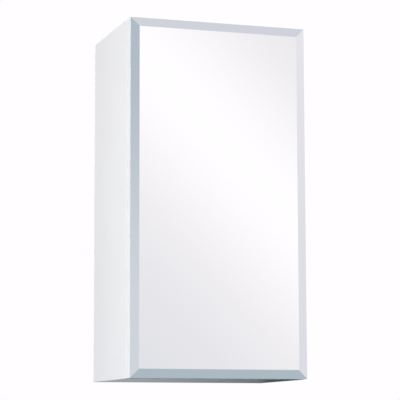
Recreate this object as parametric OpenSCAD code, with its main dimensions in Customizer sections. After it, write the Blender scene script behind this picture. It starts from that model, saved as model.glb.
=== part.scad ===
/* [Cabinet] */
// Height over everything
cabinet_h = 600; // [560:10:720]
// Width over everything
cabinet_w = 310; // [300:10:400]
// Depth from the wall to the mirror's face
cabinet_d = 230; // [200:5:250]
// Thickness of the sides, the top, the bottom and the door's board
board_t = 16; // [15:0.5:17]

/* [Back and rails] */
// Thickness of the rails that the wall screws go through
rail_t = 15; // [12:1:18]
// Height of the upper rail
upper_rail_h = 60; // [50:5:80]
// Height of the lower rail
lower_rail_h = 50; // [40:5:70]
// Thickness of the back panel
back_t = 3; // [2.5:0.5:5]
// Depth of the groove that holds the back panel
groove_deep = 6; // [4:0.5:8]
// Distance between the two wall screws of a rail
fixing_pitch = 200; // [120:10:220]
// Diameter of a wall screw's hole
fixing_hole_d = 7; // [5:0.5:9]

/* [Shelves] */
// Thickness of a shelf
shelf_t = 15; // [12:1:18]
// How far a shelf's front edge stands back from the cabinet's front edge
shelf_setback = 22; // [20:1:40]
// Diameter of a shelf support's peg
peg_d = 5; // [4:0.5:6]
// Height step of the peg holes
peg_step = 32; // [20:2:32]

/* [Door] */
// Thickness of the mirror glass
mirror_t = 5; // [4:0.5:6]
// Width of the polished bevel round the mirror
bevel_w = 15; // [8:1:25]
// Thickness of the glass at its outer edge
bevel_edge_t = 2.4; // [1.5:0.1:3.5]
// Thickness of the mounting tape behind the mirror
tape_t = 1; // [0.8:0.1:1.5]
// Width of one strip of mounting tape
tape_w = 25; // [15:1:40]
// Gap between the door's back and the cabinet's front edges
door_gap = 1.5; // [1.4:0.1:2]
// Chamfer along the hinge side of the door's back, which lets the corner swing past the cabinet
swing_chamfer = 2.8; // [2.5:0.1:2.9]
// How far the door's edge stays inside the cabinet's outline
door_reveal = 0.5; // [0:0.1:1]

/* [Hinges] */
// Distance from the end of the door to the middle of a hinge
hinge_from_end = 100; // [85:5:120]
// Diameter of the hinge cup
cup_d = 35; // [35:0.5:36]
// Distance from the door's edge to the cup
cup_edge = 3; // [3:0.1:3.4]
// Diameter of the hinge pin
hinge_pin_d = 2; // [1.6:0.1:2.2]
// Thickness of the hinge arm's metal
arm_t = 2.6; // [2:0.1:2.8]

/* [Magnetic catch] */
// Length of the catch along the side panel
catch_l = 46; // [44:1:60]
// How far the catch stands out from the side panel
catch_out = 12; // [11:0.5:14]

/* [Hidden] */
$fn = 48;

white = [0.93, 0.93, 0.95];
steel = [0.75, 0.76, 0.78];
dark_steel = [0.45, 0.46, 0.48];
beech = [0.82, 0.66, 0.45];

// Places. The wall is y = 0, the front is -y, and z = 0 is the height of the upper wall screws.
half_w = cabinet_w / 2;
inner_x = half_w - board_t;
carcass_d = cabinet_d - mirror_t - tape_t - board_t - door_gap;
front_y = -carcass_d;
top_z = board_t + upper_rail_h / 2;
bottom_z = top_z - cabinet_h;
middle_z = (top_z + bottom_z) / 2;
floor_z = bottom_z + board_t;
ceiling_z = top_z - board_t;
lower_fixing_z = floor_z + lower_rail_h / 2;

// Bolts, hinge plates and pegs are drilled on lines this far from the front and back edges.
system_line = 37;

// The back panel stands loosely in its groove, just in front of the rails.
groove_play = 0.1;
groove_w = back_t + 2 * groove_play;
groove_y = -rail_t - groove_w;
back_inset = groove_deep - 1;

// The door covers the whole front.
door_w = cabinet_w - 2 * door_reveal;
door_h = cabinet_h - 2 * door_reveal;
door_back_y = front_y - door_gap;
door_front_y = door_back_y - board_t;
door_edge_x = half_w - door_reveal;

// The hinge turns on one pin inside the cup. The pin lies deep enough for the door's chamfered back
// corner to pass the side panel's front edge.
cup_r = cup_d / 2;
cup_wall = 0.8;
cup_depth = 13.4;
cup_play = 0.1;
cup_x = door_edge_x - cup_edge - cup_r;
flange_t = 1;
ear_r = 6;
ear_z = 24;
pivot_in = 7.4;
pivot_deep = 10;
pivot_x = door_edge_x - pivot_in;
pivot_y = door_back_y - pivot_deep;
running_play = 0.05;
eye_r = 2.2;
eye_half = 5;
lug_t = 3;
lug_r = 2.6;
pin_half = eye_half + 0.4 + lug_t;
neck_out = 16.6;
arm_l = 62;
arm_back_y = front_y + arm_l;
arm_top_x = pivot_x - neck_out;
arm_under_x = arm_top_x + arm_t;
channel_half = 8.6;
channel_wall = 1.4;
channel_from_front = 10;
channel_front_y = front_y + channel_from_front;
plate_rail_half = 7;
plate_out = 5;
plate_wing_t = 1.8;
plate_wing_half = 22;
plate_from_front = 14;
plate_l = 46;
plate_mid_y = front_y + system_line;
plate_wing_w = 16;
plate_screw_z = 16;
arm_screw_from_front = 50;
adjusting_screw_from_front = 24;
arm_screw_y = front_y + arm_screw_from_front;
adjusting_screw_y = front_y + adjusting_screw_from_front;
hinge_z = [bottom_z + hinge_from_end, top_z - hinge_from_end];

// Small screws: shank radius, head radius, head height and lengths
screw_r = 1.75;
screw_head_r = 3.6;
screw_head_h = 1.6;
screw_tip_l = 3;
screw_play = 0.05;
cup_screw_l = 14;
plate_screw_l = 13;
catch_screw_l = 14;
strike_screw_l = 12;
machine_r = 2.5;
machine_head_r = 4;
machine_head_h = 2.2;

// Cam joints between the sides and the top and bottom
cam_r = 7.5;
cam_h = 12.5;
cam_in = 24;
cam_hollow_r = 3.7;
bolt_r = 2.6;
bolt_thread_r = 3.4;
bolt_thread_l = 11;
bolt_head_r = 3.3;
bolt_collar_r = 4.5;
bolt_bore_r = 5;
cap_r = 8.6;
cap_t = 1.2;
dowel_r = 4;
dowel_half = 15;
dowel_in_side = 10;
joint_play = 0.05;
joint_ys = [-system_line, front_y + system_line];
joint_mid_y = front_y / 2;
rail_dowel_dz = 14;

// Shelves and their pegs
shelf_back_play = 3;
gap_h = (cabinet_h - 2 * board_t - 2 * shelf_t) / 3;
shelf_zs = [floor_z + gap_h, floor_z + 2 * gap_h + shelf_t];
shelf_back_y = groove_y - shelf_back_play;
shelf_front_y = front_y + shelf_setback;
shelf_side_play = 1;
peg_r = peg_d / 2;
peg_deep = 9;
peg_from_edge = 28;
peg_ys = [shelf_back_y - peg_from_edge, shelf_front_y + peg_from_edge];
peg_plate_t = 2;
peg_plate_w = 8;
peg_plate_l = 9;

// Catch on the left side panel, strike plate on the door
strike_w = 12;
strike_l = 32;
strike_t = 1.5;
pole_play = 0.3;
catch_w = 18;
catch_body_half = 13;
catch_ear_t = 4;
pole_front_y = door_back_y + strike_t + pole_play;
pole_proud = 0.7;
catch_front_y = pole_front_y + pole_proud;
catch_screw_z = catch_l / 2 - 5;
pole_t = 1.4;
pole_half = 10;
pole_deep = 14;
magnet_t = 4.8;
catch_x = -inner_x + catch_out / 2;

// Tape and bumpers
tape_inset = 35;
bumper_r = 4;
bumper_play = 0.1;
bumper_t = door_gap - bumper_play;
bumper_from_end = 14;

// Round bar along x from x1 to x2
module bar_x(x1, x2, r) {
    translate([x1, 0, 0]) rotate([0, 90, 0]) cylinder(r = r, h = x2 - x1);
}

// Round bar along y from y1 to y2
module bar_y(y1, y2, r) {
    translate([0, y2, 0]) rotate([90, 0, 0]) cylinder(r = r, h = y2 - y1);
}

// Box between two corners
module box(low, high) {
    translate(low) cube(high - low);
}

// Countersunk wood screw with its head's face at z = 0 and its point down, with a cross recess
module wood_screw(len) {
    difference() {
        rotate_extrude() polygon([
            [0, 0], [screw_head_r, 0], [screw_r, -screw_head_h], [screw_r, screw_tip_l - len], [0, -len]
        ]);
        for (turn = [0, 90]) rotate(turn) translate([-2, -0.4, -1]) cube([4, 0.8, 2]);
    }
}

// Countersunk hole through a plate for a wood screw, with its mouth at z = 0
module screw_seat(len) {
    rotate_extrude() polygon([
        [0, 1], [screw_head_r + 2 * screw_play, 1], [screw_head_r + 2 * screw_play, 0],
        [screw_r + 2 * screw_play, -screw_head_h], [screw_r + 2 * screw_play, -len], [0, -len]
    ]);
}

// Cylinder-head machine screw with the head's underside at z = 0
module machine_screw(len) {
    difference() {
        union() {
            cylinder(r = machine_head_r, h = machine_head_h);
            translate([0, 0, -len]) cylinder(r = machine_r, h = len + 0.5);
        }
        for (turn = [0, 90]) rotate(turn) translate([-2.4, -0.5, 1]) cube([4.8, 1, 2]);
    }
}

// The right-hand side board: groove, bolt, dowel and peg holes on its inner face
module side_board() {
    difference() {
        box([inner_x, front_y, bottom_z], [half_w, 0, top_z]);
        box([inner_x - 1, groove_y, floor_z - groove_deep],
            [inner_x + groove_deep, -rail_t, ceiling_z + groove_deep]);
        for (z = [bottom_z + board_t / 2, top_z - board_t / 2]) {
            for (y = joint_ys)
                translate([0, y, z])
                    bar_x(inner_x - 1, inner_x + bolt_thread_l + 0.5, bolt_thread_r + joint_play);
            translate([0, joint_mid_y, z])
                bar_x(inner_x - 1, inner_x + dowel_in_side + 0.5, dowel_r + joint_play);
        }
        for (rail_z = [0, lower_fixing_z], dz = [-rail_dowel_dz, rail_dowel_dz])
            translate([0, -rail_t / 2, rail_z + dz])
                bar_x(inner_x - 1, inner_x + dowel_in_side + 0.5, dowel_r + joint_play);
        for (shelf_z = shelf_zs, y = peg_ys, step = [-1, 0, 1])
            translate([0, y, shelf_z - peg_r + step * peg_step])
                bar_x(inner_x - 1, inner_x + peg_deep + 0.5, peg_r + joint_play);
    }
}

module right_side_panel() {
    color(white) difference() {
        side_board();
        for (z = hinge_z, dz = [-plate_screw_z, plate_screw_z])
            translate([inner_x - plate_wing_t, plate_mid_y, z + dz]) rotate([0, -90, 0])
                screw_hole(plate_screw_l);
    }
}

module left_side_panel() {
    color(white) difference() {
        mirror([1, 0, 0]) side_board();
        for (dz = [-catch_screw_z, catch_screw_z])
            translate([catch_ear_t - inner_x, catch_front_y + catch_w / 2, middle_z + dz])
                rotate([0, 90, 0]) screw_hole(catch_screw_l);
    }
}

// Hole that a wood screw of this length cuts, with the place of the head's face at z = 0
module screw_hole(len) {
    rotate_extrude() polygon([
        [0, 0], [screw_head_r + 2 * screw_play, 0], [screw_r + 2 * screw_play, -screw_head_h],
        [screw_r + 2 * screw_play, screw_tip_l - len], [0, -len - 2 * screw_play]
    ]);
}

// A board between the sides with four cam holes from above, and bolt and dowel holes in its ends
module cross_board(low_z) {
    difference() {
        box([-inner_x, front_y, low_z], [inner_x, 0, low_z + board_t]);
        for (side = [0, 1]) mirror([side, 0, 0]) {
            for (y = joint_ys) {
                translate([inner_x - cam_in, y, low_z + board_t - cam_h - 0.1])
                    cylinder(r = cam_r + joint_play, h = cam_h + 1);
                translate([0, y, low_z + board_t / 2]) bar_x(inner_x - cam_in, inner_x + 1, bolt_bore_r);
            }
            translate([0, joint_mid_y, low_z + board_t / 2])
                bar_x(inner_x - 2 * dowel_half + dowel_in_side - 0.5, inner_x + 1, dowel_r + joint_play);
        }
    }
}

module top_panel() {
    color(white) difference() {
        cross_board(ceiling_z);
        box([-inner_x - 1, groove_y, ceiling_z - 1], [inner_x + 1, -rail_t, ceiling_z + groove_deep]);
    }
}

module bottom_panel() {
    color(white) difference() {
        cross_board(bottom_z);
        box([-inner_x - 1, groove_y, floor_z - groove_deep], [inner_x + 1, -rail_t, floor_z + 1]);
    }
}

module wall_screw_holes(z) {
    for (x = [-fixing_pitch / 2, fixing_pitch / 2])
        translate([x, 0, z]) bar_y(groove_y - 2, 1, fixing_hole_d / 2);
}

module back_panel() {
    color(white) difference() {
        box([-inner_x - back_inset, groove_y + groove_play, floor_z - back_inset],
            [inner_x + back_inset, -rail_t - groove_play, ceiling_z + back_inset]);
        wall_screw_holes(0);
        wall_screw_holes(lower_fixing_z);
    }
}

// A rail between the sides, with wall screw holes and two dowel holes in each end
module rail(mid_z, h) {
    color(white) difference() {
        box([-inner_x, -rail_t, mid_z - h / 2], [inner_x, 0, mid_z + h / 2]);
        wall_screw_holes(mid_z);
        for (side = [0, 1], dz = [-rail_dowel_dz, rail_dowel_dz])
            mirror([side, 0, 0]) translate([0, -rail_t / 2, mid_z + dz])
                bar_x(inner_x - 2 * dowel_half + dowel_in_side - 0.5, inner_x + 1, dowel_r + joint_play);
    }
}

module upper_rail() {
    rail(0, upper_rail_h);
}

module lower_rail() {
    rail(lower_fixing_z, lower_rail_h);
}

module shelf(low_z) {
    color(white) box([shelf_side_play - inner_x, shelf_front_y, low_z],
                     [inner_x - shelf_side_play, shelf_back_y, low_z + shelf_t]);
}

module upper_shelf() {
    shelf(shelf_zs[1]);
}

module lower_shelf() {
    shelf(shelf_zs[0]);
}

// Steel shelf supports: a peg in the side panel and a small plate under the shelf
module shelf_pegs() {
    color(steel) for (side = [0, 1], shelf_z = shelf_zs, y = peg_ys)
        mirror([side, 0, 0]) translate([0, y, shelf_z]) {
            translate([0, 0, -peg_r]) bar_x(inner_x - 3, inner_x + peg_deep, peg_r);
            box([inner_x - peg_plate_l, -peg_plate_w / 2, -peg_plate_t], [inner_x, peg_plate_w / 2, 0]);
        }
}

// Places each child at the four cam joints of a board whose underside is at low_z
module at_cams(low_z) {
    for (side = [0, 1], y = joint_ys)
        mirror([side, 0, 0]) translate([inner_x - cam_in, y, low_z + board_t]) children();
}

module cam_lock() {
    difference() {
        translate([0, 0, -cam_h]) cylinder(r = cam_r, h = cam_h);
        translate([0, 0, -board_t / 2]) bar_x(-1.5, cam_r + 1, cam_hollow_r);
        for (turn = [0, 90]) rotate(turn) translate([-4.5, -0.8, -2.4]) cube([9, 1.6, 4]);
    }
}

module cam_locks() {
    color(steel) for (low_z = [bottom_z, ceiling_z]) at_cams(low_z) cam_lock();
}

// Bolt screwed into the side panel, with its head held in the cam
module cam_bolt() {
    translate([0, 0, -board_t / 2]) {
        bar_x(0, cam_in + bolt_thread_l - 0.5, bolt_r);
        bar_x(0, 3, bolt_head_r);
        bar_x(cam_in - 2, cam_in, bolt_collar_r);
        bar_x(cam_in - 0.5, cam_in + bolt_thread_l, bolt_thread_r);
    }
}

module cam_bolts() {
    color(steel) for (low_z = [bottom_z, ceiling_z]) at_cams(low_z) cam_bolt();
}

// Caps over the cams that show inside the cabinet
module cam_caps() {
    color(white) at_cams(bottom_z) {
        cylinder(r = cap_r, h = cap_t);
        translate([-4, -0.6, -2]) cube([8, 1.2, 2.5]);
    }
}

module dowel() {
    bar_x(dowel_in_side - 2 * dowel_half, dowel_in_side, dowel_r);
}

module dowels() {
    color(beech) for (side = [0, 1]) mirror([side, 0, 0]) translate([inner_x, 0, 0]) {
        for (z = [bottom_z + board_t / 2, top_z - board_t / 2]) translate([0, joint_mid_y, z]) dowel();
        for (rail_z = [0, lower_fixing_z], dz = [-rail_dowel_dz, rail_dowel_dz])
            translate([0, -rail_t / 2, rail_z + dz]) dowel();
    }
}

module door_panel() {
    color(white) difference() {
        translate([0, 0, middle_z - door_h / 2]) linear_extrude(height = door_h) polygon([
            [-door_w / 2, door_front_y], [door_w / 2, door_front_y],
            [door_w / 2, door_back_y - swing_chamfer],
            [door_w / 2 - swing_chamfer, door_back_y], [-door_w / 2, door_back_y]
        ]);
        for (z = hinge_z) {
            translate([cup_x, 0, z])
                bar_y(door_back_y - cup_depth - cup_play, door_back_y + 1, cup_r + cup_play);
            for (dz = [-ear_z, ear_z])
                translate([cup_x, door_back_y + flange_t, z + dz]) rotate([-90, 0, 0])
                    screw_hole(cup_screw_l);
        }
        translate([catch_x, door_back_y + strike_t, middle_z]) rotate([-90, 0, 0]) screw_hole(strike_screw_l);
    }
}

// Mirror's outline in plan: a plate as wide as w with its two front edges ground down to a bevel
module bevelled_section(w) {
    polygon([
        [-w / 2, mirror_t], [w / 2, mirror_t], [w / 2, mirror_t - bevel_edge_t], [w / 2 - bevel_w, 0],
        [bevel_w - w / 2, 0], [-w / 2, mirror_t - bevel_edge_t]
    ]);
}

module mirror_glass() {
    color([0.8, 0.86, 0.9]) translate([0, -cabinet_d, middle_z]) intersection() {
        translate([0, 0, -door_h / 2]) linear_extrude(height = door_h) bevelled_section(door_w);
        rotate([0, 90, 0]) translate([0, 0, -door_w / 2])
            linear_extrude(height = door_w) bevelled_section(door_h);
    }
}

// Three upright strips of foam tape
module mirror_tape() {
    outer_x = door_w / 2 - tape_inset - tape_w / 2;
    strip_h = door_h - 2 * tape_inset;
    color([0.3, 0.3, 0.32]) for (x = [-outer_x, 0, outer_x])
        translate([x - tape_w / 2, door_front_y - tape_t, middle_z - strip_h / 2])
            cube([tape_w, tape_t, strip_h]);
}

// Soft stops on the back of the door, over the left side panel's front edge
module door_bumpers() {
    color([0.8, 0.8, 0.82]) for (z = [bottom_z + bumper_from_end, top_z - bumper_from_end])
        translate([board_t / 2 - half_w, 0, z]) bar_y(door_back_y, door_back_y + bumper_t, bumper_r);
}

// Steel cup sunk in the door, with screw ears and two lugs that hold the pin
module hinge_cup(z) {
    color(steel) translate([0, 0, z]) difference() {
        union() {
            difference() {
                union() {
                    translate([cup_x, 0, 0]) bar_y(door_back_y - cup_depth, door_back_y, cup_r);
                    box([cup_x - ear_r, door_back_y, -ear_z], [cup_x + ear_r, door_back_y + flange_t, ear_z]);
                    for (side = [-1, 1])
                        translate([cup_x, 0, side * ear_z]) bar_y(door_back_y, door_back_y + flange_t, ear_r);
                }
                translate([cup_x, 0, 0])
                    bar_y(door_back_y - cup_depth + cup_wall, door_back_y + flange_t + 1, cup_r - cup_wall);
            }
            intersection() {
                translate([cup_x, 0, 0]) bar_y(door_back_y - cup_depth, door_back_y, cup_r - cup_wall / 2);
                for (side = [0, 1]) mirror([0, 0, side]) translate([pivot_x, 0, pin_half - lug_t]) {
                    translate([0, pivot_y, 0]) cylinder(r = lug_r, h = lug_t);
                    box([-lug_r, door_back_y - cup_depth, 0], [lug_r, pivot_y, lug_t]);
                }
            }
        }
        translate([pivot_x, pivot_y, -pin_half - 1])
            cylinder(r = hinge_pin_d / 2 + running_play, h = 2 * pin_half + 2);
        for (side = [-1, 1])
            translate([cup_x, door_back_y + flange_t, side * ear_z]) rotate([-90, 0, 0]) screw_seat(3);
    }
}

module hinge_pin(z) {
    color(dark_steel) translate([pivot_x, pivot_y, z - pin_half])
        cylinder(r = hinge_pin_d / 2, h = 2 * pin_half);
}

// Goose-neck arm: an eye on the pin, a neck out of the cup, and a channel over the mounting plate
module hinge_arm(z) {
    color(steel) translate([0, 0, z]) difference() {
        union() {
            translate([pivot_x, pivot_y, -eye_half]) cylinder(r = eye_r, h = 2 * eye_half);
            box([arm_top_x, pivot_y - arm_t / 2, -eye_half], [pivot_x, pivot_y + arm_t / 2, eye_half]);
            box([arm_top_x, pivot_y - arm_t / 2, -eye_half], [arm_under_x, channel_front_y + 1, eye_half]);
            box([arm_top_x, channel_front_y, -channel_half], [arm_under_x, arm_back_y, channel_half]);
            for (side = [0, 1]) mirror([0, 0, side])
                box([arm_top_x, channel_front_y, channel_half - channel_wall],
                    [inner_x - plate_wing_t - 0.4, arm_back_y, channel_half]);
        }
        translate([pivot_x, pivot_y, -eye_half - 1])
            cylinder(r = hinge_pin_d / 2 + running_play, h = 2 * eye_half + 2);
        translate([0, arm_screw_y, 0]) bar_x(arm_top_x - 1, inner_x, machine_r + 0.3);
        translate([0, adjusting_screw_y, 0]) bar_x(arm_top_x - 1, inner_x, machine_r + 0.1);
    }
}

// Cross-shaped plate on the side panel, with a raised rail that carries the arm
module mounting_plate(z) {
    color(steel) translate([0, 0, z]) difference() {
        union() {
            box([inner_x - plate_out, front_y + plate_from_front, -plate_rail_half],
                [inner_x, front_y + plate_from_front + plate_l, plate_rail_half]);
            box([inner_x - plate_wing_t, plate_mid_y - plate_wing_w / 2, -plate_wing_half],
                [inner_x, plate_mid_y + plate_wing_w / 2, plate_wing_half]);
        }
        translate([0, arm_screw_y, 0]) bar_x(inner_x - plate_out - 1, inner_x + 1, machine_r + 0.1);
        for (side = [-1, 1])
            translate([inner_x - plate_wing_t, plate_mid_y, side * plate_screw_z])
                rotate([0, -90, 0]) screw_seat(3);
    }
}

module upper_hinge_cup() {
    hinge_cup(hinge_z[1]);
}

module lower_hinge_cup() {
    hinge_cup(hinge_z[0]);
}

module upper_hinge_pin() {
    hinge_pin(hinge_z[1]);
}

module lower_hinge_pin() {
    hinge_pin(hinge_z[0]);
}

module upper_hinge_arm() {
    hinge_arm(hinge_z[1]);
}

module lower_hinge_arm() {
    hinge_arm(hinge_z[0]);
}

module upper_mounting_plate() {
    mounting_plate(hinge_z[1]);
}

module lower_mounting_plate() {
    mounting_plate(hinge_z[0]);
}

module cup_screws() {
    color(steel) for (z = hinge_z, side = [-1, 1])
        translate([cup_x, door_back_y + flange_t, z + side * ear_z]) rotate([-90, 0, 0])
            wood_screw(cup_screw_l);
}

module plate_screws() {
    color(steel) for (z = hinge_z, side = [-1, 1])
        translate([inner_x - plate_wing_t, plate_mid_y, z + side * plate_screw_z])
            rotate([0, -90, 0]) wood_screw(plate_screw_l);
}

// Screws that clamp the arms to the mounting plates
module arm_screws() {
    color(dark_steel) for (z = hinge_z)
        translate([arm_top_x, arm_screw_y, z]) rotate([0, -90, 0]) machine_screw(inner_x - arm_top_x - 1);
}

// Screws that push the arms off the plates to set the door sideways
module adjusting_screws() {
    color(dark_steel) for (z = hinge_z)
        translate([0, adjusting_screw_y, z]) difference() {
            bar_x(arm_top_x - 1, inner_x - plate_out, machine_r);
            translate([arm_top_x - 2, -2.1, -0.4]) cube([2, 4.2, 0.8]);
        }
}

// Catch housing with a pocket that is open to the front, and two ears for screws
module catch_body() {
    color(white) translate([catch_x, catch_front_y, middle_z]) difference() {
        union() {
            box([-catch_out / 2, 0, -catch_body_half], [catch_out / 2, catch_w, catch_body_half]);
            box([-catch_out / 2, 0, -catch_l / 2], [catch_ear_t - catch_out / 2, catch_w, catch_l / 2]);
        }
        box([-magnet_t / 2 - pole_t - 0.1, -1, -pole_half - 0.1],
            [magnet_t / 2 + pole_t + 0.1, pole_deep + 0.1, pole_half + 0.1]);
        for (side = [-1, 1])
            translate([catch_ear_t - catch_out / 2, catch_w / 2, side * catch_screw_z])
                rotate([0, 90, 0]) screw_seat(5);
    }
}

module catch_magnet() {
    color([0.2, 0.2, 0.21]) translate([catch_x, catch_front_y, middle_z])
        box([-magnet_t / 2, 0.5, -pole_half], [magnet_t / 2, pole_deep, pole_half]);
}

module catch_pole_plates() {
    color(steel) translate([catch_x, catch_front_y, middle_z]) for (side = [0, 1]) mirror([side, 0, 0])
        box([magnet_t / 2, -pole_proud, -pole_half], [magnet_t / 2 + pole_t, pole_deep, pole_half]);
}

module catch_screws() {
    color(steel) for (side = [-1, 1])
        translate([catch_ear_t - inner_x, catch_front_y + catch_w / 2, middle_z + side * catch_screw_z])
            rotate([0, 90, 0]) wood_screw(catch_screw_l);
}

module strike_plate() {
    color(steel) difference() {
        box([catch_x - strike_w / 2, door_back_y, middle_z - strike_l / 2],
            [catch_x + strike_w / 2, door_back_y + strike_t, middle_z + strike_l / 2]);
        translate([catch_x, door_back_y + strike_t, middle_z]) rotate([-90, 0, 0]) screw_seat(3);
    }
}

module strike_screw() {
    color(steel) translate([catch_x, door_back_y + strike_t, middle_z])
        rotate([-90, 0, 0]) wood_screw(strike_screw_l);
}

left_side_panel();
right_side_panel();
top_panel();
bottom_panel();
back_panel();
upper_rail();
lower_rail();
upper_shelf();
lower_shelf();
shelf_pegs();
cam_locks();
cam_bolts();
cam_caps();
dowels();
door_panel();
mirror_glass();
mirror_tape();
door_bumpers();
upper_hinge_cup();
lower_hinge_cup();
upper_hinge_pin();
lower_hinge_pin();
upper_hinge_arm();
lower_hinge_arm();
upper_mounting_plate();
lower_mounting_plate();
cup_screws();
plate_screws();
arm_screws();
adjusting_screws();
catch_body();
catch_magnet();
catch_pole_plates();
catch_screws();
strike_plate();
strike_screw();
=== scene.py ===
import math

import bmesh
import bpy
import numpy as np
from mathutils import Matrix, Vector


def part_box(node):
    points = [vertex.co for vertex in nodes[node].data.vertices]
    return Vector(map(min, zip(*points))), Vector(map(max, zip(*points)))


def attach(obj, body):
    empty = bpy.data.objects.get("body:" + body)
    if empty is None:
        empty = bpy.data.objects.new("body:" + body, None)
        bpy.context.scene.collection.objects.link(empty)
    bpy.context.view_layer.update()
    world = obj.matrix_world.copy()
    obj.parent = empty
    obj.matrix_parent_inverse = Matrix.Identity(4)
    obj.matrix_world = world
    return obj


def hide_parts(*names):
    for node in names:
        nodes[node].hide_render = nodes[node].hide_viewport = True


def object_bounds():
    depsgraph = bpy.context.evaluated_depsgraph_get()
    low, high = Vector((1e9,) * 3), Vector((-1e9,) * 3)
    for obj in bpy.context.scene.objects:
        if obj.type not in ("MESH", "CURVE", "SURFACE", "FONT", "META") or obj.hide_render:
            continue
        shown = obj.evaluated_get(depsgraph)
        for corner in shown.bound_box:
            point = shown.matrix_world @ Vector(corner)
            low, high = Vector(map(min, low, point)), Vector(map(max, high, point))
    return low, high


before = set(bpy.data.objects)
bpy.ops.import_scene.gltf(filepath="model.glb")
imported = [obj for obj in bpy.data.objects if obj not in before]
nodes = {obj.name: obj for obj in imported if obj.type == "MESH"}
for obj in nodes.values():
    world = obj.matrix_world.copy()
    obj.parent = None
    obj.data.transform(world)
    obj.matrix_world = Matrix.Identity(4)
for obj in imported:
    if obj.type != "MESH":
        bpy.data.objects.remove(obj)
cad_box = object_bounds()

# The sides, top, bottom, rails and shelves
# Chipboard with a satin white foil on its faces, sawn to size, with a thin white strip ironed on its
# front edge. The back edges, and the edges of the rails that face each other, are left as sawn.


class Wire:
    """One output of a shader node. Arithmetic on wires adds the Math nodes that work it out."""

    def __init__(self, tree, socket):
        self.tree = tree
        self.socket = socket

    def maths(self, operation, *others):
        node = self.tree.nodes.new("ShaderNodeMath")
        node.operation = operation
        for slot, value in zip(node.inputs, (self, *others)):
            plug(self.tree, slot, value)
        return Wire(self.tree, node.outputs[0])

    def between(self, low, high):
        """Spreads a wire that runs from 0 to 1 over low to high."""
        return self * (high - low) + low

    def __add__(self, other):
        return self.maths("ADD", other)

    def __sub__(self, other):
        return self.maths("SUBTRACT", other)

    def __rsub__(self, other):
        return self.maths("MULTIPLY", -1.0) + other

    def __mul__(self, other):
        return self.maths("MULTIPLY", other)

    def __truediv__(self, other):
        return self.maths("DIVIDE", other)

    def __rtruediv__(self, other):
        return self.maths("POWER", -1.0) * other

    def __gt__(self, other):
        return self.maths("GREATER_THAN", other)

    def __lt__(self, other):
        return self.maths("LESS_THAN", other)

    def __abs__(self):
        return self.maths("ABSOLUTE")

    __radd__ = __add__
    __rmul__ = __mul__


def plug(tree, slot, value):
    """Links a wire to a socket, or sets the socket to a number or a colour."""
    if isinstance(value, Wire):
        tree.links.new(value.socket, slot)
    elif hasattr(value, "__len__") and len(value) == 3 and slot.type == "RGBA":
        slot.default_value = (*value, 1.0)
    else:
        slot.default_value = value


class Shading:
    """A node tree under construction, for a material or the world."""

    def __init__(self, tree):
        self.tree = tree

    def add(self, kind, settings=(), out=0, **sockets):
        """Adds a node: its settings first, then its sockets by name with _ for a space. Gives a wire."""
        node = self.tree.nodes.new("ShaderNode" + kind)
        for key, value in dict(settings).items():
            if key == "ramp":
                elements = node.color_ramp.elements
                for place, shade in value[1:-1]:
                    elements.new(place)
                for element, (place, shade) in zip(elements, value):
                    element.position = place
                    element.color = (*shade, 1.0)
            else:
                setattr(node, key, value)
        for key, value in sockets.items():
            name = key.replace("_", " ")
            plug(self.tree, next(s for s in node.inputs if s.enabled and s.name == name), value)
        found = node.outputs[out] if isinstance(out, str) else [s for s in node.outputs if s.enabled][out]
        return Wire(self.tree, found)

    def axis(self, vector, name):
        """One component of a vector wire, by its letter."""
        return self.add("SeparateXYZ", Vector=vector, out=name)

    def rgb(self, red, green, blue):
        """A colour made of three wires."""
        return self.add("CombineXYZ", X=red, Y=green, Z=blue)

    def blend(self, share, first, second):
        """The first colour where share is 0, the second where it is 1."""
        node = self.tree.nodes.new("ShaderNodeMix")
        node.data_type = "RGBA"
        plug(self.tree, node.inputs[0], share)
        plug(self.tree, node.inputs[6], first)
        plug(self.tree, node.inputs[7], second)
        return Wire(self.tree, node.outputs[2])

    def step(self, value, low, high):
        """0 below low, 1 above high, with a smooth ramp between."""
        node = self.tree.nodes.new("ShaderNodeMapRange")
        node.interpolation_type = "SMOOTHSTEP"
        plug(self.tree, node.inputs["Value"], value)
        node.inputs["From Min"].default_value = low
        node.inputs["From Max"].default_value = high
        return Wire(self.tree, node.outputs[0])


class Finish(Shading):
    """A material on its Principled shader, whose uniform values are set on the shader itself."""

    def __init__(self, name, **uniform):
        self.material = bpy.data.materials.new(name)
        self.material.use_nodes = True
        super().__init__(self.material.node_tree)
        self.shader = self.tree.nodes["Principled BSDF"]
        self.place = self.add("TexCoord", out="Object")
        for key, value in uniform.items():
            plug(self.tree, self.shader.inputs[key.replace("_", " ")], value)

    def noise(self, lumps_per_m, detail=2.0, roughness=0.5, squeeze=(1, 1, 1)):
        """Cloudy noise between 0 and 1 on Object coordinates. A squeeze below 1 draws its lumps out."""
        place = self.place
        if squeeze != (1, 1, 1):
            place = self.add("Mapping", Vector=self.place, Scale=squeeze)
        return self.add("TexNoise", Vector=place, Scale=lumps_per_m, Detail=detail, Roughness=roughness)

    def feed(self, **sockets):
        """Links wires to the shader's sockets."""
        for key, wire in sockets.items():
            plug(self.tree, self.shader.inputs[key.replace("_", " ")], wire)
        return self

    def bump(self, height, depth, strength=1.0):
        """Raises the surface by height, a wire from 0 to 1, times depth in metres."""
        return self.feed(Normal=self.add("Bump", Height=height, Distance=depth, Strength=strength))

    def on(self, *names):
        """Puts the material in every slot of the named nodes."""
        for name in names:
            mesh = nodes[name].data
            mesh.materials.clear()
            mesh.materials.append(self.material)


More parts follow.
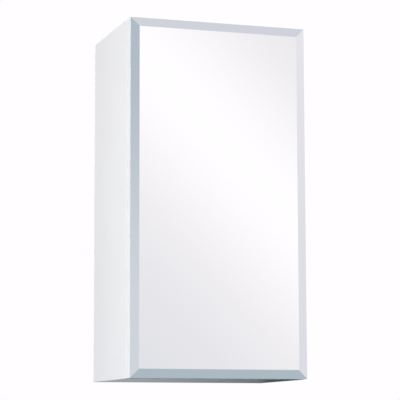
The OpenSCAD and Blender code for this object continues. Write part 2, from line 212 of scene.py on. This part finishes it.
WHITE_FOIL = (0.86, 0.86, 0.875)
MOTTLED_FOIL = [tone * 0.985 for tone in WHITE_FOIL]
SAWN_ROUGHER = 0.45
GLOSS_SMOOTHER = 0.27
FOIL_GRAIN = 0.35
BOARD_RELIEF = 0.00012
STRIP_T = 0.001
STRIP_SEAM = (0.70, 0.70, 0.71)
SEAM_W = 0.00025
CHIPS_PER_M = 620
CHIP_TONES = [(0.0, (0.20, 0.12, 0.06)), (0.45, (0.42, 0.29, 0.17)), (1.0, (0.66, 0.52, 0.35))]
FACE_DEPTH = 0.0003


def board_finish(name, front_y, sawn_faces, glossy_faces=()):
    """White foil with the strip's seam just behind front_y, raw chips on sawn faces, and glossy faces.

    A face is given as the letter of its axis and its place along that axis.
    """
    finish = Finish(name, IOR=1.47)
    y = finish.axis(finish.place, "Y")

    def lies_in(faces):
        return sum((abs(finish.axis(finish.place, axis) - at) < FACE_DEPTH for axis, at in faces), 0 * y)

    sawn = lies_in(sawn_faces)
    glossy = lies_in(glossy_faces)
    mottle = finish.step(finish.noise(9, detail=3), 0.35, 0.65)
    foil = finish.blend(mottle, WHITE_FOIL, MOTTLED_FOIL)
    seam = abs(y - (front_y + STRIP_T)) < SEAM_W / 2
    skin = finish.blend(seam, foil, STRIP_SEAM)
    chips = finish.add("TexVoronoi", {"feature": "F1"}, Vector=finish.place, Scale=CHIPS_PER_M, out="Color")
    fleck = finish.axis(chips, "X") * 0.7 + finish.noise(160, detail=4) * 0.35
    flecks = finish.add("ValToRGB", {"ramp": CHIP_TONES}, Fac=fleck)
    foil_grain = finish.noise(1500) * (1 - sawn) * (1 - glossy) * FOIL_GRAIN
    satin = finish.noise(30, detail=3).between(0.36, 0.44)
    finish.feed(
        Base_Color=finish.blend(sawn, skin, flecks),
        Roughness=satin + sawn * SAWN_ROUGHER - glossy * GLOSS_SMOOTHER,
    )
    finish.bump(foil_grain + finish.axis(chips, "Y") * sawn, BOARD_RELIEF)
    return finish


# The foil is glossy underneath, where the photograph shows it mirroring the studio at a flat angle.
side_low, side_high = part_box("left_side_panel")
carcass = board_finish("white_foil_board", side_low.y, [("Y", side_high.y)], [("Z", side_low.z)])
carcass.on("left_side_panel", "right_side_panel", "top_panel", "bottom_panel")

# The rails have no strip, so their seam is put out of reach.
NO_STRIP = -1.0
rail_edges = [("Z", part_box("upper_rail")[0].z), ("Z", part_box("lower_rail")[1].z)]
board_finish("white_foil_rail", NO_STRIP, rail_edges).on("upper_rail", "lower_rail")
shelf_low, shelf_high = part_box("upper_shelf")
board_finish("white_foil_shelf", shelf_low.y, [("Y", shelf_high.y)]).on("upper_shelf", "lower_shelf")
MERGE_DISTANCE = 0.000001


def merged_copy(node, name, body):
    """A piece that stands for a CAD node: the node's triangles, joined where their corners meet."""
    joined = bmesh.new()
    joined.from_mesh(nodes[node].data)
    bmesh.ops.remove_doubles(joined, verts=joined.verts, dist=MERGE_DISTANCE)
    mesh = bpy.data.meshes.new(name)
    joined.to_mesh(mesh)
    joined.free()
    for material in nodes[node].data.materials:
        mesh.materials.append(material)
    piece = bpy.data.objects.new(name, mesh)
    bpy.context.scene.collection.objects.link(piece)
    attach(piece, body)
    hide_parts(node)
    return piece


def ease(piece, faces, radius):
    """Rounds the straight edges that lie in two of the named faces of the piece's box, such as -Y."""
    mesh = piece.data
    points = np.empty(len(mesh.vertices) * 3, np.float32)
    mesh.vertices.foreach_get("co", points)
    points = points.reshape(-1, 3)
    ends = np.empty(len(mesh.edges) * 2, np.int32)
    mesh.edges.foreach_get("vertices", ends)
    ends = ends.reshape(-1, 2)
    faces_met = np.zeros(len(ends), int)
    for sign, letter in faces:
        across = points[:, "XYZ".index(letter)]
        face = across.max() if sign == "+" else across.min()
        faces_met += (abs(across - face) < MERGE_DISTANCE)[ends].all(1)
    weights = mesh.attributes.new("bevel_weight_edge", "FLOAT", "EDGE").data
    weights.foreach_set("value", (faces_met > 1).astype(np.float32))
    rounding = piece.modifiers.new("eased", "BEVEL")
    rounding.limit_method = "WEIGHT"
    rounding.width = radius
    rounding.segments = 3
    rounding.use_clamp_overlap = False


TRIM_R = 0.0005
SIDE_FACES = ("-X", "+X", "-Y", "-Z", "+Z")
ease(merged_copy("left_side_panel", "left_side_board", "cabinet"), SIDE_FACES, TRIM_R)
ease(merged_copy("right_side_panel", "right_side_board", "cabinet"), SIDE_FACES, TRIM_R)
STRIP_FACES = ("-Y", "-Z", "+Z")
ease(merged_copy("top_panel", "top_board", "cabinet"), STRIP_FACES, TRIM_R)
ease(merged_copy("bottom_panel", "bottom_board", "cabinet"), STRIP_FACES, TRIM_R)
ease(merged_copy("upper_shelf", "upper_shelf_board", "cabinet"), STRIP_FACES, TRIM_R)
ease(merged_copy("lower_shelf", "lower_shelf_board", "cabinet"), STRIP_FACES, TRIM_R)

# The back panel
# Hardboard, white foil on the side that faces into the cabinet, bare brown fibres towards the wall.

FIBRE_TONES = [(0.0, (0.17, 0.10, 0.055)), (0.5, (0.27, 0.17, 0.10)), (1.0, (0.36, 0.25, 0.155))]
FIBRE_RELIEF = 0.0002
BARE_ROUGHER = 0.4
BARE_SKIN = 0.001
back_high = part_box("back_panel")[1]
hardboard = Finish("hardboard_back", IOR=1.47)
bare = hardboard.axis(hardboard.place, "Y") > back_high.y - BARE_SKIN
fine_fibres = hardboard.noise(240, detail=6, roughness=0.7)
laid_fibres = hardboard.noise(60, detail=4, roughness=0.6, squeeze=(1, 1, 6))
fibres = fine_fibres * 0.6 + laid_fibres * 0.4
fibre_tone = hardboard.add("ValToRGB", {"ramp": FIBRE_TONES}, Fac=fibres)
hardboard.feed(
    Base_Color=hardboard.blend(bare, WHITE_FOIL, fibre_tone),
    Roughness=hardboard.noise(40).between(0.38, 0.46) + bare * BARE_ROUGHER,
)
hardboard.bump(fibres * bare.between(0.2, 1.0), FIBRE_RELIEF)
hardboard.on("back_panel")

# The door's board
# The same board with foil on its edges too, and the seam round them just behind the front face. Its back
# corner on the hinge side is cut off, so that it can swing past the side board.

door_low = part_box("door_panel")[0]
board_finish("white_foil_door", door_low.y, [], [("Z", door_low.z)]).on("door_panel")
door_board = merged_copy("door_panel", "door_board", "door")
ease(door_board, ("-X", "+X", "-Y", "+Y", "-Z", "+Z"), TRIM_R)

# The mirror
# Float glass, silvered on its back under a grey paint, with a wide bevel ground and polished round it.
# The ground edge is fine matt glass, a little green.

SILVER = (0.965, 0.955, 0.97)
# The bevel faces get a darker, bluer silver than the flat: a painted reflection tone, which stands for the
# dimmer, colder studio that the bevels mirror.
BEVEL_REFLECTION_TINT = (0.88, 0.877, 0.918)
EDGE_GLASS = (0.76, 0.85, 0.88)
BACK_PAINT = (0.33, 0.36, 0.37)
EDGE_ROUGH = 0.35
PAINT_ROUGH = 0.6
TINY = 0.00005
glass_low, glass_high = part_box("mirror_glass")
glass = Finish("silvered_glass", IOR=1.52)
x, y, z = (glass.axis(glass.place, letter) for letter in "XYZ")
middle = (glass_low + glass_high) / 2
half = (glass_high - glass_low) / 2
ground = ((abs(x - middle.x) > half.x - TINY) + (abs(z - middle.z) > half.z - TINY)).maths("MINIMUM", 1.0)
painted = y > glass_high.y - TINY
silvered = (1 - ground) * (1 - painted)
bevel = (y > glass_low.y + TINY) * silvered
# The painted reflection tone goes on the bevel faces here.
tone = glass.blend(bevel, SILVER, BEVEL_REFLECTION_TINT)
tone = glass.blend(ground, tone, EDGE_GLASS)
polish = glass.noise(14, detail=3).between(0.004, 0.016)
glass.feed(
    Base_Color=glass.blend(painted, tone, BACK_PAINT),
    Metallic=silvered,
    Roughness=ground * EDGE_ROUGH + painted * PAINT_ROUGH + silvered * polish,
)
glass.on("mirror_glass")

# Tape and bumpers
# Closed-cell foam tape between the glass and the board, and clear soft stops on the door's back.

FOAM_RELIEF = 0.0002
foam = Finish("foam_tape", Roughness=0.8)
cells = foam.noise(2600)
foam.feed(Base_Color=foam.blend(cells, (0.16, 0.16, 0.17), (0.26, 0.26, 0.27)))
foam.bump(cells, FOAM_RELIEF)
foam.on("mirror_tape")

soft = Finish("clear_soft_plastic", IOR=1.49, Transmission_Weight=0.6)
haze = soft.noise(700)
soft.feed(
    Base_Color=soft.blend(haze, (0.82, 0.83, 0.84), (0.92, 0.93, 0.94)),
    Roughness=haze.between(0.25, 0.40),
)
soft.on("door_bumpers")

# The hinges
# Cups and arms pressed from nickel-plated steel, with faint drawing lines along the metal. The pins, and
# the screws in the arms, are dark oxidised steel.

METAL_RELIEF = 0.00002
CLOUD_COARSER = 12
LINE_SHARE = 0.6
LINE_ROUGHER = 0.14
CLOUD_ROUGHER = 0.08


def metal_finish(name, dark, light, rough, lines_per_m, squeeze):
    """Bare or plated metal: fine lines, drawn out one way, and soft clouds move its tone and shine."""
    finish = Finish(name, Metallic=1.0)
    lines = finish.noise(lines_per_m, detail=4, roughness=0.6, squeeze=squeeze)
    cloud = finish.noise(lines_per_m / CLOUD_COARSER)
    finish.feed(
        Base_Color=finish.blend(lines * LINE_SHARE + cloud * (1 - LINE_SHARE), dark, light),
        Roughness=lines * LINE_ROUGHER + cloud * CLOUD_ROUGHER + rough,
    )
    return finish.bump(lines, METAL_RELIEF)


NICKEL = ((0.66, 0.64, 0.61), (0.84, 0.83, 0.80))
nickel = metal_finish("nickel_plate", *NICKEL, rough=0.14, lines_per_m=1800, squeeze=(1, 0.08, 1))
nickel.on("upper_hinge_cup", "lower_hinge_cup", "upper_hinge_arm", "lower_hinge_arm")
PRESSED_R = 0.0002
CORNER_TURN = math.radians(40)


def soften(piece, radius):
    """Rounds every corner of the piece that turns more sharply than a facet of a curve."""
    rounding = piece.modifiers.new("softened", "BEVEL")
    rounding.limit_method = "ANGLE"
    rounding.angle_limit = CORNER_TURN
    rounding.width = radius
    rounding.segments = 2


for place in ("upper", "lower"):
    soften(merged_copy(place + "_hinge_cup", place + "_cup_pressing", "door"), PRESSED_R)
    soften(merged_copy(place + "_hinge_arm", place + "_arm_pressing", "cabinet"), PRESSED_R)

OXIDE = ((0.22, 0.22, 0.23), (0.40, 0.40, 0.42))
oxide = metal_finish("dark_steel", *OXIDE, rough=0.28, lines_per_m=2200, squeeze=(1, 1, 0.1))
oxide.on("upper_hinge_pin", "lower_hinge_pin", "arm_screws", "adjusting_screws")

# Plates, pegs, screws and cam joints
# Zinc-plated steel and zinc castings, with the plating's soft cloudy bloom.

ZINC = ((0.56, 0.58, 0.62), (0.78, 0.79, 0.82))
zinc = metal_finish("zinc_plate", *ZINC, rough=0.24, lines_per_m=900, squeeze=(1, 1, 1))
zinc.on(
    "upper_mounting_plate", "lower_mounting_plate", "shelf_pegs", "cam_locks", "cam_bolts",
    "cup_screws", "plate_screws", "catch_screws", "strike_plate", "strike_screw", "catch_pole_plates",
)
for place in ("upper", "lower"):
    plate = merged_copy(place + "_mounting_plate", place + "_plate_pressing", "cabinet")
    soften(plate, PRESSED_R)

# Dowels
# Plain beech pins, glued into the ends of the boards and rails, with the grain along them.

BEECH_RELIEF = 0.0001
beech = Finish("beech_dowel", Roughness=0.6)
grain = beech.noise(900, detail=5, roughness=0.6, squeeze=(0.06, 1, 1))
beech.feed(Base_Color=beech.blend(grain, (0.58, 0.38, 0.20), (0.80, 0.60, 0.38)))
beech.bump(grain, BEECH_RELIEF)
beech.on("dowels")

# Catch and caps
# Moulded white plastic: the catch's housing round a dark pressed magnet, and the caps over the lower cams.

MOULDED_RELIEF = 0.00004
MOULDED_R = 0.0004
moulded = Finish("moulded_white_plastic", IOR=1.46)
pearl = moulded.noise(1400)
moulded.feed(
    Base_Color=moulded.blend(moulded.noise(60), (0.84, 0.84, 0.83), (0.90, 0.90, 0.89)),
    Roughness=pearl.between(0.34, 0.46),
)
moulded.bump(pearl, MOULDED_RELIEF)
moulded.on("catch_body", "cam_caps")
soften(merged_copy("catch_body", "catch_moulding", "cabinet"), MOULDED_R)

POWDER_RELIEF = 0.00005
ferrite = Finish("pressed_magnet", IOR=1.8)
powder = ferrite.noise(1900, detail=3)
ferrite.feed(
    Base_Color=ferrite.blend(powder, (0.03, 0.03, 0.032), (0.09, 0.09, 0.095)),
    Roughness=powder.between(0.45, 0.65),
)
ferrite.bump(powder, POWDER_RELIEF)
ferrite.on("catch_magnet")

# The floor
# A pale round floor far below the cabinet, which hangs clear of it. It fades out towards its rim, and is
# nearly black to bounced light, so that it throws none up.

FLOOR_DROP = 2.4
FLOOR_R = 3.5
FLOOR_RINGS = 12
FLOOR_SIDES = 64
FLOOR_PALE = (0.85, 0.85, 0.85)
FLOOR_DARK = (0.02, 0.02, 0.02)
FLOOR_GLOW = 0.6
FADE_FROM = 0.3 * FLOOR_R
FADE_TO = 0.98 * FLOOR_R

# A disc: a middle point, then each ring's radius times the cosine and sine of each turn. A fan of
# triangles joins the middle to the first ring, and quads join each ring to the next.
rings = np.linspace(0, FLOOR_R, FLOOR_RINGS + 1)[1:]
turns = np.linspace(0, 2 * np.pi, FLOOR_SIDES, endpoint=False)
radius, turn = np.meshgrid(rings, turns, indexing="ij")
spots = np.stack([radius * np.cos(turn), radius * np.sin(turn), np.zeros_like(turn)], -1)
points = np.vstack([[(0, 0, 0)], spots.reshape(-1, 3)])
here = np.arange(FLOOR_RINGS * FLOOR_SIDES).reshape(FLOOR_RINGS, FLOOR_SIDES) + 1
beside = np.roll(here, -1, 1)
quads = np.stack([here[:-1], here[1:], beside[1:], beside[:-1]], -1).reshape(-1, 4).tolist()
fans = np.stack([np.zeros(FLOOR_SIDES, int), here[0], beside[0]], -1).tolist()
floor_mesh = bpy.data.meshes.new("floor")
floor_mesh.from_pydata(points.tolist(), [], fans + quads)
floor = bpy.data.objects.new("floor", floor_mesh)
floor.location.z = cad_box[0].z - FLOOR_DROP
bpy.context.scene.collection.objects.link(floor)


def mix_shaders(finish, share, first, second):
    """The first shader where share is 0, the second where it is 1."""
    mix = finish.add("MixShader", Fac=share)
    plug(finish.tree, mix.socket.node.inputs[1], first)
    plug(finish.tree, mix.socket.node.inputs[2], second)
    return mix


pale_floor = Finish("pale_floor")
pale_floor.tree.nodes.remove(pale_floor.shader)
to_eye = pale_floor.add("LightPath", out="Is Camera Ray")
to_shine = pale_floor.add("LightPath", out="Is Glossy Ray")
through = pale_floor.add("LightPath", out="Is Transmission Ray")
seen = to_eye.maths("MAXIMUM", to_shine).maths("MAXIMUM", through)
matt = pale_floor.add("BsdfDiffuse", Color=pale_floor.blend(seen, FLOOR_DARK, FLOOR_PALE))
glow = pale_floor.add("Emission", Color=(1, 1, 1), Strength=1.0)
lit = mix_shaders(pale_floor, seen * FLOOR_GLOW, matt, glow)
reach = pale_floor.add("VectorMath", {"operation": "LENGTH"}, out="Value", Vector=pale_floor.place)
gone = pale_floor.add("BsdfTransparent")
faded = mix_shaders(pale_floor, pale_floor.step(reach, FADE_FROM, FADE_TO), lit, gone)
plug(pale_floor.tree, pale_floor.tree.nodes["Material Output"].inputs["Surface"], faded)
floor_mesh.materials.append(pale_floor.material)

# The studio
# White to the eye, with soft light on the cabinet from above and from the lamps. Shiny surfaces see a
# room of their own, worked out from a ray's direction. East is to the right, and north is to the back.

EYE_WHITE = (1.0, 0.983, 1.0)
SKY_LIGHT = (0.78, 0.78, 0.79)
GROUND_LIGHT = (0.02, 0.022, 0.025)
LEAST_RUN = 0.08
world = bpy.data.worlds.new("studio")
bpy.context.scene.world = world
world.use_nodes = True
sky = Shading(world.node_tree)
direction = sky.add("TexCoord", out="Generated")
east, north, up = (sky.axis(direction, letter) for letter in "XYZ")

# Ahead of the cabinet's front, a soft bright band crosses a grey room, which is lighter at the right and
# darker at the upper left and below. u and v are the slopes of a ray across and up, going away from
# the front, and LEAST_RUN keeps them finite for rays along the wall.
ROOM_LEVEL = 0.697
BAND_LEVEL = 0.345
BAND_U, BAND_V = 0.360, 0.161
BAND_TILT = math.radians(46)
BAND_WIDTH = 0.076
RIGHT_RISE = 0.06
UPPER_RIGHT_RISE = 0.17
UPPER_LEFT_FALL = 0.24
BELOW_FALL = 0.25
DEEP_RISE = 0.12
ahead = (north * -1).maths("MAXIMUM", LEAST_RUN)
u = east / ahead
v = up / ahead
off = (u - BAND_U) * math.cos(BAND_TILT) + (v - BAND_V) * math.sin(BAND_TILT)
band = 1 / (off * off * (1 / BAND_WIDTH ** 2) + 1)
right = sky.step(u, 0.45, 0.85)
left = sky.step(u, -0.45, -0.12) * (1 - sky.step(u, 0.0, 0.28))
below = 1 - sky.step(v, -0.32, 0.0)
deep = 1 - sky.step(v, -0.60, -0.36)
level = band * BAND_LEVEL + ROOM_LEVEL
level = level + right * (sky.step(v, -0.1, 0.5) * UPPER_RIGHT_RISE + RIGHT_RISE)
level = level - sky.step(v, 0.06, 0.24) * left * UPPER_LEFT_FALL
level = level - below * BELOW_FALL + deep * DEEP_RISE

# The room's tint in red, green and blue. What is dimmer than PALE_LEVEL turns blue-grey, and the tones
# just below and at the left are a little greener.
PALE_LEVEL = 0.90
PALE_TINT = (0.0, -0.0075, 0.005)
DIM_TINT = (0.0, 0.175, 0.31)
BELOW_TINT = (0.0, 0.026, -0.012)
LEFT_TINT = (0.0, 0.014, 0.0)
dim = (PALE_LEVEL - level).maths("MAXIMUM", 0.0)
just_below = below - deep
channels = [
    level + pale + dim * cold + just_below * low + left * side
    for pale, cold, low, side in zip(PALE_TINT, DIM_TINT, BELOW_TINT, LEFT_TINT)
]
room = sky.rgb(*channels)

# Behind and below, which the underside shows at its flat angle, a grey sheet darkens to the right, where
# it's also colder, and ends at a nearly black edge. w is the slope of a ray across, going away from the
# back.
BACK_ROOM = (0.85, 0.85, 0.86)
SHEET_LEVEL = 0.455
SHEET_FALL = 0.38
SHEET_TINT = (0.93, 1.0, 1.07)
COLD_TINT = (0.0, 0.026, 0.037)
EDGE_W = 0.364
EDGE_SOFT_W = 0.010
EDGE_FALL = 0.97
EDGE_COLD_FALL = 0.5
w = east / north.maths("MAXIMUM", LEAST_RUN)
near = sky.step(up, -0.20, -0.12) * (1 - sky.step(w, 0.44, 0.55))
fall = sky.step(w, 0.19, 0.43) * near
edge = sky.step(w, EDGE_W, EDGE_W + EDGE_SOFT_W) * near
sheet = (SHEET_LEVEL - fall * SHEET_FALL) * (1 - edge * EDGE_FALL)
cold = fall * (1 - edge * EDGE_COLD_FALL)
under = sky.rgb(*(sheet * plain + cold * colder for plain, colder in zip(SHEET_TINT, COLD_TINT)))
behind = sky.blend(sky.step(up, -0.01, 0.25), under, BACK_ROOM)
room = sky.blend(sky.step(north * -1, 0.0, 0.4), behind, room)

ambient = sky.blend(sky.step(up, -0.15, 0.15), GROUND_LIGHT, SKY_LIGHT)
glossy = sky.add("LightPath", out="Is Glossy Ray")
glossy = glossy.maths("MAXIMUM", sky.add("LightPath", out="Is Transmission Ray"))
colour = sky.blend(glossy, ambient, room)
colour = sky.blend(sky.add("LightPath", out="Is Camera Ray"), colour, EYE_WHITE)
plug(sky.tree, sky.tree.nodes["Background"].inputs["Color"], colour)


def lamp(name, place, aim, size, watts, tint=(1, 1, 1)):
    """A soft lamp, size wide and high, that only lights: it shows in no mirror and no picture."""
    light = bpy.data.lights.new(name, "AREA")
    light.shape = "RECTANGLE"
    light.size, light.size_y = size
    light.energy = watts
    light.color = tint
    holder = bpy.data.objects.new(name, light)
    holder.location = place
    holder.rotation_euler = (Vector(aim) - Vector(place)).to_track_quat("-Z", "Y").to_euler()
    holder.visible_camera = False
    holder.visible_glossy = False
    bpy.context.scene.collection.objects.link(holder)


centre = (cad_box[0] + cad_box[1]) / 2
lamp("left_softbox", place=(-1.50, -1.40, -0.42), aim=centre, size=(1.2, 0.35), watts=31)
lamp("right_softbox", place=(2.30, -1.20, 0.00), aim=centre, size=(1.4, 1.0), watts=28)
lamp("front_softbox", place=(0.9, -2.6, 0.7), aim=centre, size=(1.6, 1.2), watts=14)
lamp("back_softbox", place=(0.0, 2.4, 0.45), aim=centre, size=(0.5, 0.5), watts=26)

# A small lamp under the left end, straight below the spot that it lights on the underside.
CARD_X, CARD_Y = -0.15, -0.10
CARD_DROP = 0.33
card_at = (CARD_X, CARD_Y, cad_box[0].z - CARD_DROP)
card_aim = (CARD_X, CARD_Y, 0)
lamp("underside_card", card_at, card_aim, size=(0.08, 0.08), watts=0.46, tint=(0.90, 0.98, 1.0))

# The camera
# A long lens from the front left, a little below the cabinet's underside, as in the photograph. Angles are
# in radians.

FOCAL_PX = 1756.65
PICTURE_PX = 400
SENSOR_MM = 36
YAW, PITCH, ROLL = 0.31793, 0.13208, -0.00276
CAMERA_AT = Vector((-0.93999, -2.98112, -0.64309))
forward = Vector((math.sin(YAW) * math.cos(PITCH), math.cos(YAW) * math.cos(PITCH), math.sin(PITCH)))
level_right = Vector((math.cos(YAW), -math.sin(YAW), 0.0))
level_up = level_right.cross(forward)
camera_right = level_right * math.cos(ROLL) + level_up * math.sin(ROLL)
camera_up = level_up * math.cos(ROLL) - level_right * math.sin(ROLL)
lens = bpy.data.cameras.new("camera")
lens.sensor_width = SENSOR_MM
lens.lens = FOCAL_PX / PICTURE_PX * SENSOR_MM
lens.clip_end = 50
camera = bpy.data.objects.new("camera", lens)
bpy.context.scene.collection.objects.link(camera)
turned = Matrix((camera_right, camera_up, -forward)).transposed().to_4x4()
camera.matrix_world = Matrix.Translation(CAMERA_AT) @ turned
bpy.context.scene.camera = camera
bpy.context.scene.view_settings.view_transform = "Standard"
